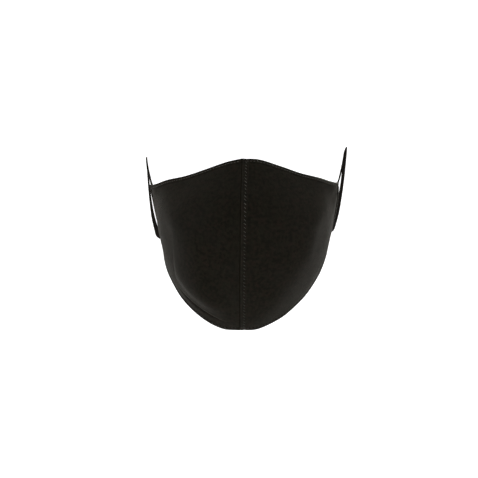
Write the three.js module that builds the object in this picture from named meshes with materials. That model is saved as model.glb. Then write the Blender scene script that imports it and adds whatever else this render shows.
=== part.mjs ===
// A cloth face mask in the form that it takes when worn: two curved cloth halves joined by a centre seam,
// with turned hems all round, and one flat elastic ear loop on each side.
// Millimetres, +Z up. The front of the mask faces -Y, and the wearer's left is +X.
// The origin is the point that rests on the bridge of the nose, on the inner face at the top of the
// centre seam.

import * as THREE from 'three';

// Sizes of the worn mask

const seamDrop = 137;        // centre seam, top to foot, straight down
const noseReach = 31;        // how far the seam stands out in front of its chord, at the tip of the nose
const chinSetback = 11;      // how far the seam's foot lies behind its top
const upperHalfWidth = 76.3; // centre plane to the upper corner of the side edge
const lowerHalfWidth = 68.2; // centre plane to the lower corner of the side edge
const sideDepth = 64;        // bridge of the nose back to the side edge
const sideDrop = 47;         // height of the side edge
const cornerSag = 4.5;       // how much lower the loop pulls the lower corner, at a share of 1
const cornerSagFade = 4;     // how near the corner that stays
const cornerDrop = 27.5;     // bridge of the nose down to the upper corner, mean of the two sides
const cornerUneven = 1.1;    // how much lower than the mean the right corner is, and higher the left
const edgeBow = 1.2;         // how far a side edge bends out between its corners, at a share of 1
const seamLean = 1.7;        // how far the foot of the mask hangs towards the wearer's right

// Cloth

const clothThickness = 1.5;  // two plies
const hemWidth = 4;          // turned edge, top, bottom and side
const hemThickness = 2.2;    // the turned edge, where the plies are doubled
const hemStep = 1;           // the slope from hem to single cloth
const seamBand = 3;          // seam allowance pressed to the wearer's left and topstitched
const seamBandThickness = 2.1;
const seamGap = 0.3;         // between the two halves
const tuckWidth = 6;         // the dent of a tuck, from shoulder to shoulder

// Ear loops

const loopWidth = 5;         // flat knitted elastic
const loopThickness = 1.3;
const loopTab = 9;           // length of each end that is sewn inside the side hem
const loopInset = 5.5;       // centre of the sewn end from the corner, along the side edge
const loopReach = 50;        // side edge back to the rear of the ear
const loopRise = 28;         // corner up to the top of the ear
const loopStand = 9.5;       // how far the loop stands out sideways past the upper corner
const loopClearance = 0.4;   // between the sewn end and the cloth

// The top edge from the centre seam (along 0) to the side edge (along 1). across is a share of
// upperHalfWidth, back of sideDepth, drop of cornerDrop and lean of cornerUneven.
const topEdge = [
  { along: 0.00, across: 0.000, back: 0.00, drop: 0.00, lean: 0.0 },
  { along: 0.12, across: 0.155, back: 0.07, drop: 0.08, lean: 0.9 },
  { along: 0.30, across: 0.365, back: 0.21, drop: 0.32, lean: 1.2 },
  { along: 0.50, across: 0.580, back: 0.39, drop: 0.57, lean: 1.2 },
  { along: 0.70, across: 0.780, back: 0.60, drop: 0.75, lean: 1.0 },
  { along: 0.86, across: 0.915, back: 0.80, drop: 0.92, lean: 1.1 },
  { along: 1.00, across: 1.000, back: 1.00, drop: 1.00, lean: 1.0 },
];

// The bottom edge. across is a share of lowerHalfWidth, back a share of the way from chinSetback to
// sideDepth, and rise a share of the way up from the seam's foot to the lower corner.
const bottomEdge = [
  { along: 0.00, across: 0.000, back: 0.00, rise: 0.000 },
  { along: 0.12, across: 0.200, back: 0.01, rise: 0.018 },
  { along: 0.30, across: 0.470, back: 0.10, rise: 0.155 },
  { along: 0.50, across: 0.705, back: 0.31, rise: 0.350 },
  { along: 0.70, across: 0.870, back: 0.58, rise: 0.590 },
  { along: 0.86, across: 0.955, back: 0.80, rise: 0.805 },
  { along: 1.00, across: 1.000, back: 1.00, rise: 1.000 },
];

// How far the cloth stands off the straight line between the two edges. bow is the share of noseReach that
// it stands forward, peak how far down it does so most, and out the share of upperHalfWidth that it
// stands out sideways.
const fullness = [
  { along: 0.00, bow: 1.00, peak: 0.34, out: 0.000 },
  { along: 0.12, bow: 0.99, peak: 0.35, out: 0.035 },
  { along: 0.30, bow: 0.92, peak: 0.37, out: 0.085 },
  { along: 0.50, bow: 0.72, peak: 0.40, out: 0.113 },
  { along: 0.70, bow: 0.42, peak: 0.43, out: 0.092 },
  { along: 0.86, bow: 0.16, peak: 0.46, out: 0.044 },
  { along: 1.00, bow: 0.00, peak: 0.40, out: 0.000 },
];
const chinFullness = 0.7; // under 1, the cloth stays forward down to the chin and then turns under it
const edgeBowFade = 4;    // the power with which the side edge's own bow dies away towards the seam

// Tucks in the cloth. from and to are shares of the way from the seam to the side edge, height the share
// of seamDrop by which the tuck lies above the bottom edge, and depth the share of noseReach that it sinks.
const tuckTable = [
  { side: 'right', from: 0.08, to: 0.56, height: 0.058, depth: 0.075 },
  { side: 'left', from: 0.62, to: 0.90, height: 0.075, depth: 0.035 },
];

// The loop's route. down runs from the upper corner (0) to the lower (1), back is a share of loopReach,
// rise of loopRise, out of loopStand, and twist turns the band about its own length, in degrees.
const loopTable = [
  { down: 0.00, back: 0.07, rise: 0.04, out: 0.05, twist: 2 },
  { down: 0.00, back: 0.20, rise: 0.22, out: 0.36, twist: 10 },
  { down: 0.00, back: 0.48, rise: 0.66, out: 0.80, twist: 18 },
  { down: 0.00, back: 0.76, rise: 1.00, out: 1.10, twist: 26 },
  { down: 0.14, back: 0.96, rise: 0.80, out: 1.20, twist: 32 },
  { down: 0.42, back: 1.00, rise: 0.42, out: 1.22, twist: 36 },
  { down: 0.70, back: 0.90, rise: 0.10, out: 1.10, twist: 36 },
  { down: 0.90, back: 0.66, rise: 0.00, out: 0.86, twist: 34 },
  { down: 0.99, back: 0.36, rise: 0.00, out: 0.62, twist: 26 },
  { down: 1.00, back: 0.10, rise: 0.00, out: 0.10, twist: 4 },
];

// What differs between the two sides, as shares of the sizes and tables above. loopSplay is how much
// further the loop stands out at its lower end.
const sides = {
  right: {
    sign: -1,
    jawShare: 0.95,
    outShare: 0.8,
    edgeShare: -0.5,
    sagShare: 1,
    loopRiseShare: 0.77,
    loopStandShare: 0.9,
    loopSplay: 1.3,
    upperTwist: 0.1,
    lowerTwist: 0.95,
  },
  left: {
    sign: 1,
    jawShare: 1.01,
    outShare: 0.96,
    edgeShare: 2.2,
    sagShare: 0,
    loopRiseShare: 1.01,
    loopStandShare: 0.92,
    loopSplay: 0.85,
    upperTwist: 0.85,
    lowerTwist: 0.85,
  },
};

// Grid of the cloth

const columns = 26;  // seam to side edge
const rows = 20;     // between the top hem and the bottom hem
const loopSteps = 56;

// Value of a smooth curve through (knots, values) at a place.
function through(knots, values, place) {
  const last = knots.length - 1;
  let i = 0;
  while (i < last - 1 && place > knots[i + 1]) i += 1;
  const slopeAt = (k) => {
    const a = Math.max(0, k - 1);
    const b = Math.min(last, k + 1);
    return (values[b] - values[a]) / (knots[b] - knots[a]);
  };
  const span = knots[i + 1] - knots[i];
  const t = (place - knots[i]) / span;
  const keepsStart = 2 * t ** 3 - 3 * t ** 2 + 1;
  const leavesStart = t ** 3 - 2 * t ** 2 + t;
  const meetsEnd = t ** 3 - t ** 2;
  return values[i] * keepsStart + values[i + 1] * (1 - keepsStart)
    + span * (slopeAt(i) * leavesStart + slopeAt(i + 1) * meetsEnd);
}

const readAt = (table, column, along) => (
  through(table.map((row) => row.along), table.map((row) => row[column]), along)
);

// From 0 at the two ends to 1 at the peak.
function bowAt(down, peak) {
  if (down < peak) return Math.sin((Math.PI / 2) * (down / peak));
  return Math.max(0, Math.cos((Math.PI / 2) * ((down - peak) / (1 - peak)))) ** chinFullness;
}

// Inner face of the cloth, before tucks. along: seam 0 to side edge 1. down: top edge 0 to bottom edge 1.
function formPoint(side, along, down) {
  const uneven = side.sign * cornerUneven;
  const lowerDrop = cornerDrop - uneven + sideDrop;
  const top = new THREE.Vector3(
    upperHalfWidth * readAt(topEdge, 'across', along),
    sideDepth * readAt(topEdge, 'back', along),
    uneven * readAt(topEdge, 'lean', along) - cornerDrop * readAt(topEdge, 'drop', along),
  );
  const foot = new THREE.Vector3(
    lowerHalfWidth * side.jawShare * readAt(bottomEdge, 'across', along),
    THREE.MathUtils.lerp(chinSetback, sideDepth, readAt(bottomEdge, 'back', along)),
    -THREE.MathUtils.lerp(seamDrop, lowerDrop, readAt(bottomEdge, 'rise', along))
      - cornerSag * side.sagShare * along ** cornerSagFade,
  );
  const stand = bowAt(down, readAt(fullness, 'peak', along));
  const point = top.lerp(foot, down);
  point.x += stand * upperHalfWidth * side.outShare * readAt(fullness, 'out', along);
  point.x += stand * edgeBow * side.edgeShare * along ** edgeBowFade;
  point.y -= stand * noseReach * readAt(fullness, 'bow', along);
  point.x = side.sign * point.x + seamLean * (point.z / seamDrop);
  return point;
}

// Length of the cloth from its top edge to its bottom edge, and from the seam to the side edge.
function lengthBetween(pointAt) {
  const steps = 24;
  let length = 0;
  for (let i = 0; i < steps; i += 1) length += pointAt(i / steps).distanceTo(pointAt((i + 1) / steps));
  return length;
}
const heightAt = (side, along) => lengthBetween((t) => formPoint(side, along, t));
const widthAt = (side, down) => lengthBetween((t) => formPoint(side, t, down));

// Outward direction of the cloth.
function outwardAt(side, along, down) {
  const step = 0.01;
  const a = formPoint(side, Math.max(0, along - step), down);
  const b = formPoint(side, Math.min(1, along + step), down);
  const c = formPoint(side, along, Math.max(0, down - step));
  const d = formPoint(side, along, Math.min(1, down + step));
  return b.sub(a).cross(d.sub(c)).multiplyScalar(-side.sign).normalize();
}

// 1 inside a band of the given width from an edge, falling to 0 over hemStep.
const bandShare = (fromEdge, width) => 1 - THREE.MathUtils.smoothstep(fromEdge, width, width + hemStep);

// Thickness of the cloth at a place, from its distances to the edges.
function thicknessAt(side, along, down, height, width) {
  const edge = Math.min(down * height, (1 - down) * height, (1 - along) * width);
  const hem = (hemThickness - clothThickness) * bandShare(edge, hemWidth);
  if (side !== sides.left) return clothThickness + hem;
  const band = (seamBandThickness - clothThickness) * bandShare(along * width, seamBand);
  return clothThickness + Math.max(hem, band);
}

// How far the tucks of this side sink the cloth at a place.
function tuckAt(sideName, along, down, height) {
  let sink = 0;
  for (const tuck of tuckTable.filter((row) => row.side === sideName)) {
    if (along <= tuck.from || along >= tuck.to) continue;
    const run = Math.sin((Math.PI * (along - tuck.from)) / (tuck.to - tuck.from));
    const off = Math.abs((1 - down) * height - tuck.height * seamDrop) / (tuckWidth / 2);
    if (off < 1) sink += tuck.depth * noseReach * Math.sqrt(run) * (0.5 + 0.5 * Math.cos(Math.PI * off));
  }
  return sink;
}

// Places down one column of the grid: close together over the hems and the tuck, and even between them.
function downStops(height, tuckLine) {
  const near = [0, hemWidth / 2, hemWidth, hemWidth + hemStep].map((d) => d / height);
  const foot = [tuckLine + tuckWidth / 2, tuckLine, hemWidth + hemStep, hemWidth, hemWidth / 2, 0];
  const low = foot.map((d) => 1 - d / height);
  const first = near[near.length - 1];
  const between = [];
  for (let i = 1; i < rows; i += 1) between.push(THREE.MathUtils.lerp(first, low[0], i / rows));
  return [...near, ...between, ...low];
}

// Places across the grid: close together at the seam band and the side hem.
function alongStops(width) {
  const stops = [0, seamBand / width, (seamBand + hemStep) / width];
  const end = [1 - (hemWidth + hemStep) / width, 1 - hemWidth / width, 1 - hemWidth / 2 / width, 1];
  const first = stops[stops.length - 1];
  for (let i = 1; i < columns; i += 1) stops.push(THREE.MathUtils.lerp(first, end[0], i / columns));
  return [...stops, ...end];
}

// A closed solid through rings of points. Each ring holds its outer points in order and then its inner
// points back again, so that the two ends close as strips between outer and inner.
function loftSolid(rings) {
  const count = rings[0].length;
  const positions = rings.flat().flatMap((p) => [p.x, p.y, p.z]);
  const index = [];
  const quad = (a, b, c, d) => index.push(a, b, c, a, c, d);
  for (let r = 0; r + 1 < rings.length; r += 1) {
    for (let i = 0; i < count; i += 1) {
      const j = (i + 1) % count;
      quad(r * count + i, r * count + j, (r + 1) * count + j, (r + 1) * count + i);
    }
  }
  const lastRing = (rings.length - 1) * count;
  for (let i = 0; i + 1 < count / 2; i += 1) {
    const j = count - 1 - i;
    quad(i, j, j - 1, i + 1);
    quad(lastRing + i, lastRing + i + 1, lastRing + j - 1, lastRing + j);
  }
  const geometry = new THREE.BufferGeometry();
  geometry.setAttribute('position', new THREE.Float32BufferAttribute(positions, 3));
  geometry.setIndex(index);
  if (signedVolume(geometry) < 0) geometry.setIndex(index.reverse());
  geometry.computeVertexNormals();
  return geometry;
}

function signedVolume(geometry) {
  const { position } = geometry.attributes;
  const corners = [0, 1, 2].map(() => new THREE.Vector3());
  let volume = 0;
  for (let i = 0; i < geometry.index.count; i += 3) {
    corners.forEach((corner, k) => corner.fromBufferAttribute(position, geometry.index.getX(i + k)));
    volume += corners[0].dot(corners[1].clone().cross(corners[2])) / 6;
  }
  return volume;
}

// One half of the mask.
function clothHalf(sideName) {
  const side = sides[sideName];
  const width = widthAt(side, 1 / 2);
  const tuckLine = seamDrop * tuckTable.find((row) => row.side === sideName).height;
  const rings = alongStops(width).map((along) => {
    const height = heightAt(side, along);
    const outer = [];
    const inner = [];
    for (const down of downStops(height, tuckLine)) {
      const outward = outwardAt(side, along, down);
      const base = formPoint(side, along, down);
      base.addScaledVector(outward, -tuckAt(sideName, along, down, height));
      base.x += side.sign * (seamGap / 2) * (1 - along);
      inner.push(base);
      outer.push(base.clone().addScaledVector(outward, thicknessAt(side, along, down, height, width)));
    }
    return [...outer, ...inner.reverse()];
  });
  return loftSolid(rings);
}

// The place of a loop's sewn end on the side edge: down is its share of the side edge's height.
function loopEnd(side, down) {
  const width = widthAt(side, down);
  const lift = -(loopClearance + loopThickness / 2);
  const onCloth = (fromEdge) => {
    const along = 1 - fromEdge / width;
    const outward = outwardAt(side, along, down);
    return { point: formPoint(side, along, down).addScaledVector(outward, lift), outward };
  };
  const tab = onCloth(loopTab);
  const middle = onCloth(loopTab / 2);
  const edge = onCloth(0);
  return { tab, middle, edge };
}

// A flat elastic band from the upper corner round the ear to the lower corner.
function earLoop(sideName) {
  const side = sides[sideName];
  const inset = loopInset / sideDrop;
  const upper = loopEnd(side, inset);
  const lower = loopEnd(side, 1 - inset);
  const sideways = new THREE.Vector3(side.sign, 0, 0);
  const reach = loopTable.map((row) => {
    const point = upper.edge.point.clone().lerp(lower.edge.point, row.down);
    const stand = side.loopStandShare * THREE.MathUtils.lerp(1, side.loopSplay, row.down);
    point.add(new THREE.Vector3(
      side.sign * loopStand * stand * row.out,
      loopReach * row.back,
      loopRise * side.loopRiseShare * row.rise,
    ));
    const twistShare = THREE.MathUtils.lerp(side.upperTwist, side.lowerTwist, row.down);
    return { point, outward: sideways, twist: row.twist * twistShare };
  });
  const still = (end) => ({ ...end, twist: 0 });
  const stations = [
    ...[upper.tab, upper.middle, upper.edge].map(still),
    ...reach,
    ...[lower.edge, lower.middle, lower.tab].map(still),
  ];
  const knots = stations.map((_, i) => i);
  const read = (get, place) => through(knots, stations.map(get), place);
  const vectorAt = (get, place) => new THREE.Vector3(
    read((s) => get(s).x, place),
    read((s) => get(s).y, place),
    read((s) => get(s).z, place),
  );
  const last = stations.length - 1;
  const step = 0.02;
  const rings = [];
  for (let i = 0; i <= loopSteps; i += 1) {
    const place = (last * i) / loopSteps;
    const centre = vectorAt((s) => s.point, place);
    const ahead = vectorAt((s) => s.point, Math.min(last, place + step));
    const behind = vectorAt((s) => s.point, Math.max(0, place - step));
    const run = ahead.sub(behind).normalize();
    const flat = vectorAt((s) => s.outward, place);
    flat.addScaledVector(run, -flat.dot(run)).normalize();
    flat.applyAxisAngle(run, side.sign * THREE.MathUtils.degToRad(read((s) => s.twist, place)));
    rings.push(bandSection(centre, flat, run.clone().cross(flat)));
  }
  return loftSolid(rings);
}

// Section of the band: flat faces, and edges that thin to a share of its thickness.
function bandSection(centre, flat, wide) {
  const half = loopWidth / 2;
  const edge = half - loopThickness / 2;
  const face = loopThickness / 2;
  const thinned = 0.4;
  const outline = [[-half, thinned], [-edge, 1], [edge, 1], [half, thinned]];
  const at = ([w, f]) => centre.clone().addScaledVector(wide, w).addScaledVector(flat, f * face);
  const outer = outline.map(at);
  const inner = outline.map(([w, f]) => at([w, -f])).reverse();
  return [...outer, ...inner];
}

const cloth = new THREE.MeshStandardMaterial({ color: 0x1f1d1b, roughness: 0.9, metalness: 0 });
const elastic = new THREE.MeshStandardMaterial({ color: 0x14100f, roughness: 0.95, metalness: 0 });

function piece(name, geometry, material) {
  const mesh = new THREE.Mesh(geometry, material);
  mesh.name = name;
  return mesh;
}

const mask = new THREE.Group();
for (const sideName of Object.keys(sides)) {
  mask.add(piece(`${sideName}_cloth_half`, clothHalf(sideName), cloth));
  mask.add(piece(`${sideName}_ear_loop`, earLoop(sideName), elastic));
}

export default mask;
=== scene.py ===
# A black two-ply cloth face mask in its worn form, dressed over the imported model.
# Metres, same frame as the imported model: +Z up, front to -Y, wearer's left to +X.

import math

import bmesh
import bpy
import numpy as np
from mathutils import Matrix, Vector


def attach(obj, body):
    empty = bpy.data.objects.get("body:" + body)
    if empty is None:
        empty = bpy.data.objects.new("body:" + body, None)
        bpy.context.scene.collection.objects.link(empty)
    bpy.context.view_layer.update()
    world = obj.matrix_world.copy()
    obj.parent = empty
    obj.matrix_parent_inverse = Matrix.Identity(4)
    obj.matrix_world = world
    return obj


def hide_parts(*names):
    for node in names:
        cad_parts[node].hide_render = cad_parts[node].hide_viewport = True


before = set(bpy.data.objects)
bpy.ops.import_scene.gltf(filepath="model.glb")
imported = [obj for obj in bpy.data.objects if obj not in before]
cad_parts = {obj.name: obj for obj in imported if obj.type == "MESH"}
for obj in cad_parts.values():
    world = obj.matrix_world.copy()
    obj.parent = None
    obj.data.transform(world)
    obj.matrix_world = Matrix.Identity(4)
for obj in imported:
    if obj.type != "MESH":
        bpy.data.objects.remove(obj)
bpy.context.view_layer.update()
mm = 0.001
print("packed model loaded")


# Camera

studioView = {
    "azimuth": 1.5,        # degrees towards the wearer's left
    "elevation": 10.0,     # degrees above level
    "distance": 1.2,
    "pixel": 0.78 * mm,    # width of one picture pixel at that distance
    "noseAcross": 3.2,     # pixels from the middle of the picture to the top of the seam
    "noseUp": 79.2,
    "picture": 478,        # pixels across
    "sensor": 36,          # millimetres, as the camera counts them
}


def placeCamera():
    a = math.radians(studioView["azimuth"])
    e = math.radians(studioView["elevation"])
    ahead = Vector((-math.sin(a) * math.cos(e), math.cos(a) * math.cos(e), -math.sin(e)))
    right = Vector((math.cos(a), math.sin(a), 0))
    up = right.cross(ahead)
    pixel = studioView["pixel"]
    aim = -right * studioView["noseAcross"] * pixel - up * studioView["noseUp"] * pixel
    cameraData = bpy.data.cameras.new("studioCamera")
    cameraData.sensor_width = studioView["sensor"]
    cameraData.lens = studioView["sensor"] * studioView["distance"] / (studioView["picture"] * pixel)
    camera = bpy.data.objects.new("studioCamera", cameraData)
    turn = Matrix((right, up, -ahead)).transposed().to_4x4()
    camera.matrix_world = Matrix.Translation(aim - ahead * studioView["distance"]) @ turn
    bpy.context.collection.objects.link(camera)
    bpy.context.scene.camera = camera


placeCamera()
print("camera placed")


# Node and mesh helpers

noiseRange = (0.3, 0.7)    # nearly all of what a noise texture gives


def faceOut(mesh):
    shell = bmesh.new()
    shell.from_mesh(mesh)
    if shell.calc_volume(signed=True) < 0:
        bmesh.ops.reverse_faces(shell, faces=shell.faces)
        shell.to_mesh(mesh)
    shell.free()


def addMesh(name, verts, faces, material, uvs=None, shades=None):
    mesh = bpy.data.meshes.new(name)
    mesh.from_pydata([tuple(v) for v in verts], [], [tuple(f) for f in faces])
    faceOut(mesh)
    mesh.polygons.foreach_set("use_smooth", [True] * len(mesh.polygons))
    corners = np.empty(len(mesh.loops), dtype=np.int32)
    mesh.loops.foreach_get("vertex_index", corners)
    if uvs is not None:
        layer = mesh.uv_layers.new(name="fabricUV")
        layer.data.foreach_set("uv", np.asarray(uvs)[corners].ravel())
    for shadeName, values in (shades or {}).items():
        shade = mesh.attributes.new(shadeName, "FLOAT", "POINT")
        shade.data.foreach_set("value", np.asarray(values, dtype=np.float32))
    mesh.materials.append(material)
    mesh.update()
    piece = bpy.data.objects.new(name, mesh)
    bpy.context.collection.objects.link(piece)
    return piece


def newMaterial(name):
    material = bpy.data.materials.new(name)
    material.use_nodes = True
    tree = material.node_tree
    return material, tree, tree.nodes["Principled BSDF"]


def addNode(tree, kind, inputs=None, **settings):
    node = tree.nodes.new(kind)
    for key, value in settings.items():
        setattr(node, key, value)
    for key, value in (inputs or {}).items():
        if isinstance(value, bpy.types.NodeSocket):
            tree.links.new(value, node.inputs[key])
        else:
            node.inputs[key].default_value = value
    return node


def maths(tree, operation, first, second=0.0):
    return addNode(tree, "ShaderNodeMath", {0: first, 1: second}, operation=operation).outputs[0]


def blendColours(tree, share, first, second):
    node = addNode(tree, "ShaderNodeMix", {0: share, 6: first, 7: second}, data_type="RGBA")
    return node.outputs[2]


def spread(tree, value, low, high, toLow=0.0, toHigh=1.0):
    node = addNode(
        tree, "ShaderNodeMapRange",
        {"Value": value, "From Min": low, "From Max": high, "To Min": toLow, "To Max": toHigh},
    )
    return node.outputs["Result"]


def noise(tree, place, scale, detail=2.0):
    inputs = {"Vector": place, "Scale": scale, "Detail": detail}
    return addNode(tree, "ShaderNodeTexNoise", inputs).outputs[0]


def objectPlace(tree):
    return addNode(tree, "ShaderNodeTexCoord").outputs["Object"]


def fabricAxes(tree):
    uv = addNode(tree, "ShaderNodeUVMap", uv_map="fabricUV").outputs[0]
    return addNode(tree, "ShaderNodeSeparateXYZ", {0: uv}).outputs


def addBump(tree, surface, strength, depth, height):
    bump = addNode(tree, "ShaderNodeBump", {"Strength": strength, "Distance": depth, "Height": height})
    tree.links.new(bump.outputs[0], surface.inputs["Normal"])


# Cloth material

clothFinish = {
    "shadeColour": (0.0042, 0.0038, 0.0022, 1),   # between the loops of the knit
    "faceColour": (0.0086, 0.0078, 0.0046, 1),    # on the loops
    "rosyColour": (0.0106, 0.0071, 0.0048, 1),    # on the rosier flecks
    "lintAndHighlightColour": (0.170, 0.160, 0.142, 1),       # lint specks, and the painted highlight along the lit edges
    "walePitch": 0.62 * mm,                       # one column of knit loops
    "coursePitch": 0.50 * mm,                     # one row of them
    "knitDepth": 0.05 * mm,
    "bump": 0.6,
    "heatherSize": 2.6 * mm,                      # light and dark flecks of the yarn
    "heather": 1.25,
    "fuzzScale": 1400.0,                          # ends of the fibres
    "patchScale": 45.0,                           # slow unevenness
    "lintScale": 330.0,
    "lint": 0.08,                                 # how far the lint goes to the colour of lint and painted highlight
    "lintPatches": (0.5, 0.65),                   # patches that are this light have it
    "lintSpeck": (0.07, 0.02),                    # from the edge of a speck to its middle
    "rosySize": 3.25 * mm,
    "rosyFrom": (0.42, 0.62),
    "knitTone": 0.55,                             # how much each gives to the tone
    "fuzzTone": 0.45,
    "patchTone": (0.8, 1.25),
    "fuzzHighlight": (0.45, 1.0),
    "fuzzHeight": 0.5,
    "valley": (0.0, 0.2),                         # dark groove between two columns of loops
    "roughness": (0.78, 0.94),
    "sheen": 0.085,
    "sheenRoughness": 0.35,
    "sheenTint": (1.0, 0.94, 0.85, 1),
    "specular": 0.06,
    "uvSpan": 160 * mm,                           # cloth covered by the whole of the UV square
}


def jerseyKnit(tree):
    axes = fabricAxes(tree)
    waleCount = clothFinish["uvSpan"] / clothFinish["walePitch"]
    courseCount = clothFinish["uvSpan"] / clothFinish["coursePitch"]
    wale = maths(tree, "PINGPONG", maths(tree, "MULTIPLY", axes[0], waleCount), 0.5)
    course = maths(tree, "MULTIPLY", axes[1], courseCount)
    vee = maths(tree, "SINE", maths(tree, "MULTIPLY", maths(tree, "ADD", course, wale), 2 * math.pi))
    return maths(tree, "MULTIPLY", spread(tree, vee, -1.0, 1.0), spread(tree, wale, *clothFinish["valley"]))


def jerseyTone(tree, place, knit, fuzz, patches):
    fleck = noise(tree, place, 1 / clothFinish["heatherSize"], detail=1.0)
    fleck = spread(tree, fleck, *noiseRange, 1 - clothFinish["heather"], 1 + clothFinish["heather"])
    knitTone = maths(tree, "MULTIPLY", knit, clothFinish["knitTone"])
    fuzzTone = maths(tree, "MULTIPLY", fuzz, clothFinish["fuzzTone"])
    tone = maths(tree, "ADD", knitTone, fuzzTone)
    tone = maths(tree, "MULTIPLY", tone, spread(tree, patches, *noiseRange, *clothFinish["patchTone"]))
    return maths(tree, "MULTIPLY", tone, fleck)


def jerseyColour(tree, place, knit, fuzz, patches):
    rosy = spread(tree, noise(tree, place, 1 / clothFinish["rosySize"]), *clothFinish["rosyFrom"])
    face = blendColours(tree, rosy, clothFinish["faceColour"], clothFinish["rosyColour"])
    tone = jerseyTone(tree, place, knit, fuzz, patches)
    colour = blendColours(tree, tone, clothFinish["shadeColour"], face)
    # painted highlight along the lit edges and rims, broken up by the fuzz of the fibres
    edgeHighlight = addNode(tree, "ShaderNodeAttribute", attribute_name="edgeHighlight").outputs["Fac"]
    highlightShare = maths(tree, "MULTIPLY", edgeHighlight, spread(tree, fuzz, *noiseRange, *clothFinish["fuzzHighlight"]))
    colour = blendColours(tree, highlightShare, colour, clothFinish["lintAndHighlightColour"])
    lint = addNode(tree, "ShaderNodeTexVoronoi", {"Vector": place, "Scale": clothFinish["lintScale"]})
    specks = spread(tree, lint.outputs["Distance"], *clothFinish["lintSpeck"])
    amount = spread(tree, patches, *clothFinish["lintPatches"], 0.0, clothFinish["lint"])
    return blendColours(tree, maths(tree, "MULTIPLY", specks, amount), colour, clothFinish["lintAndHighlightColour"])


def makeClothMaterial():
    material, tree, surface = newMaterial("blackJersey")
    place = objectPlace(tree)
    knit = jerseyKnit(tree)
    fuzz = noise(tree, place, clothFinish["fuzzScale"], detail=3.0)
    patches = noise(tree, place, clothFinish["patchScale"], detail=4.0)
    tree.links.new(jerseyColour(tree, place, knit, fuzz, patches), surface.inputs["Base Color"])
    rough = spread(tree, patches, *noiseRange, *clothFinish["roughness"])
    tree.links.new(rough, surface.inputs["Roughness"])
    height = maths(tree, "ADD", knit, maths(tree, "MULTIPLY", fuzz, clothFinish["fuzzHeight"]))
    addBump(tree, surface, clothFinish["bump"], clothFinish["knitDepth"], height)
    surface.inputs["Sheen Weight"].default_value = clothFinish["sheen"]
    surface.inputs["Sheen Roughness"].default_value = clothFinish["sheenRoughness"]
    surface.inputs["Sheen Tint"].default_value = clothFinish["sheenTint"]
    surface.inputs["Specular IOR Level"].default_value = clothFinish["specular"]
    return material


# Elastic material

elasticFinish = {
    "shadeColour": (0.0038, 0.0029, 0.0022, 1),
    "faceColour": (0.0105, 0.0080, 0.0062, 1),
    "stitchPitch": 0.55 * mm,   # one row of the knit along the band
    "ribs": 8,                  # ribs across the band, the same as its mesh has
    "knitDepth": 0.08 * mm,
    "valley": (0.0, 0.25),      # dark groove between two ribs
    "knitTone": 0.6,            # how much each gives to the tone
    "fuzzTone": 0.4,
    "roughness": (0.82, 0.96),
    "bump": 0.8,
    "fuzzScale": 1800.0,
    "specular": 0.04,
    "uvSpan": 200 * mm,
}


def makeElasticMaterial():
    material, tree, surface = newMaterial("blackElastic")
    axes = fabricAxes(tree)
    rib = maths(tree, "PINGPONG", maths(tree, "MULTIPLY", axes[0], elasticFinish["ribs"]), 0.5)
    rowCount = elasticFinish["uvSpan"] / elasticFinish["stitchPitch"]
    row = maths(tree, "ADD", maths(tree, "MULTIPLY", axes[1], rowCount), rib)
    loops = spread(tree, maths(tree, "SINE", maths(tree, "MULTIPLY", row, 2 * math.pi)), -1.0, 1.0)
    knit = maths(tree, "MULTIPLY", loops, spread(tree, rib, *elasticFinish["valley"]))
    fuzz = noise(tree, objectPlace(tree), elasticFinish["fuzzScale"])
    knitTone = maths(tree, "MULTIPLY", knit, elasticFinish["knitTone"])
    fuzzTone = maths(tree, "MULTIPLY", fuzz, elasticFinish["fuzzTone"])
    tone = maths(tree, "ADD", knitTone, fuzzTone)
    colour = blendColours(tree, tone, elasticFinish["shadeColour"], elasticFinish["faceColour"])
    tree.links.new(colour, surface.inputs["Base Color"])
    rough = spread(tree, fuzz, *noiseRange, *elasticFinish["roughness"])
    tree.links.new(rough, surface.inputs["Roughness"])
    addBump(tree, surface, elasticFinish["bump"], elasticFinish["knitDepth"], knit)
    surface.inputs["Specular IOR Level"].default_value = elasticFinish["specular"]
    return material


# Thread material

threadFinish = {
    "shadeColour": (0.014, 0.013, 0.0105, 1),
    "faceColour": (0.036, 0.034, 0.029, 1),
    "upperColour": (0.085, 0.080, 0.070, 1),    # higher up, where the thread is lighter
    "lighterFrom": -75 * mm,
    "lighterTo": -20 * mm,
    "twistPitch": 0.45 * mm,
    "plyDepth": 0.04 * mm,
    "groove": (0.0, 0.35),                       # dark line between two plies of the thread
    "roughness": (0.7, 0.5),                     # in that line and on a ply
    "bump": 0.7,
    "sheen": 0.03,
    "specular": 0.15,
    "uvSpan": 10 * mm,
}


def makeThreadMaterial():
    material, tree, surface = newMaterial("blackThread")
    axes = fabricAxes(tree)
    turns = maths(tree, "MULTIPLY", axes[1], threadFinish["uvSpan"] / threadFinish["twistPitch"])
    ply = maths(tree, "PINGPONG", maths(tree, "ADD", turns, axes[0]), 0.5)
    share = spread(tree, ply, *threadFinish["groove"])
    height = addNode(tree, "ShaderNodeSeparateXYZ", {0: objectPlace(tree)}).outputs[2]
    # the thread goes lighter higher up
    lightening = spread(tree, height, threadFinish["lighterFrom"], threadFinish["lighterTo"])
    face = blendColours(tree, lightening, threadFinish["faceColour"], threadFinish["upperColour"])
    colour = blendColours(tree, share, threadFinish["shadeColour"], face)
    tree.links.new(colour, surface.inputs["Base Color"])
    rough = spread(tree, ply, 0.0, 0.5, *threadFinish["roughness"])
    tree.links.new(rough, surface.inputs["Roughness"])
    addBump(tree, surface, threadFinish["bump"], threadFinish["plyDepth"], share)
    surface.inputs["Sheen Weight"].default_value = threadFinish["sheen"]
    surface.inputs["Specular IOR Level"].default_value = threadFinish["specular"]
    return material


# Shaded cloth between the lips of the centre seam

seamFinish = {
    "shadeColour": (0.0048, 0.0042, 0.0026, 1),
    "faceColour": (0.0105, 0.0092, 0.0060, 1),
    "roughness": 0.95,
    "fuzzScale": 1400.0,
}


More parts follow.
